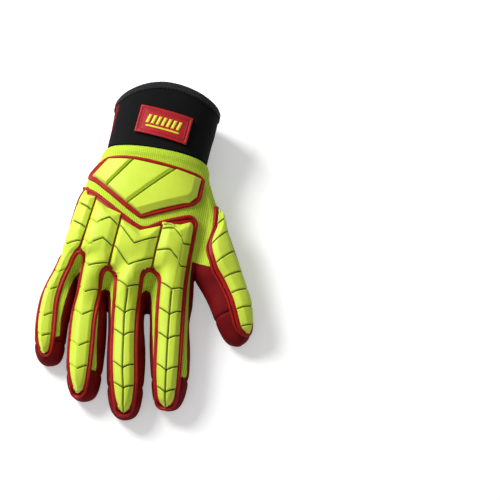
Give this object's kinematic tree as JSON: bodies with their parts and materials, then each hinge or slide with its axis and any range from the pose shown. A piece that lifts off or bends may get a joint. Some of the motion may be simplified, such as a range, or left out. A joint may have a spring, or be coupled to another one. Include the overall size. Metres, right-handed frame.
{
  "type": "impact glove",
  "caption": "Right-hand impact glove lying palm down: knit back with moulded guards over knuckles, fingers and thumb, leather palm, short open cuff with a pull tab.",
  "frame": {"origin": "centre of the outline on the surface the glove lies on, palm down", "axes": "+Y along the hand from the fingertips to the cuff, +X towards the thumb, +Z out of the back of the hand"},
  "size_m": [0.162, 0.2564, 0.0582],
  "materials": {
    "knit": "soft knit",
    "guard": "moulded, satin",
    "flange": "moulded, satin",
    "palm_leather": "pebbled grip leather",
    "side_fabric": "smooth woven",
    "cuff_black": "foamed sheet with fabric face",
    "badge_red": "moulded, satin",
    "webbing": "ribbed webbing",
    "reflective": "reflective weave",
    "plate_grey": "moulded, satin"
  },
  "bodies": {
    "root": {"palm_panel": "palm_leather", "back_panel": "knit", "side_little": "side_fabric", "side_index": "side_fabric", "side_thumb": "side_fabric", "fourchette_little_ring": "side_fabric", "fourchette_ring_middle": "side_fabric", "fourchette_middle_index": "side_fabric", "little_cap": "side_fabric", "ring_cap": "side_fabric", "middle_cap": "side_fabric", "index_cap": "side_fabric", "thumb_cap": "side_fabric", "guard_flange_little": "flange", "guard_pad_little": "guard", "guard_flange_ring": "flange", "guard_pad_ring": "guard", "guard_flange_middle": "flange", "guard_pad_middle": "guard", "guard_flange_index": "flange", "guard_pad_index": "guard", "guard_flange_thumb": "flange", "guard_pad_thumb": "guard", "wrist_guard_flange": "flange", "wrist_pad_little_side": "guard", "wrist_pad_middle": "guard", "wrist_pad_thumb_side": "guard", "cuff_back": "cuff_black", "cuff_gusset": "side_fabric", "cuff_palm": "cuff_black", "cuff_binding": "cuff_black", "badge": "badge_red", "reflective_patch_upper": "reflective", "size_plate": "plate_grey", "reflective_patch_lower": "reflective", "pull_tab": "webbing"}
  },
  "joints": []
}
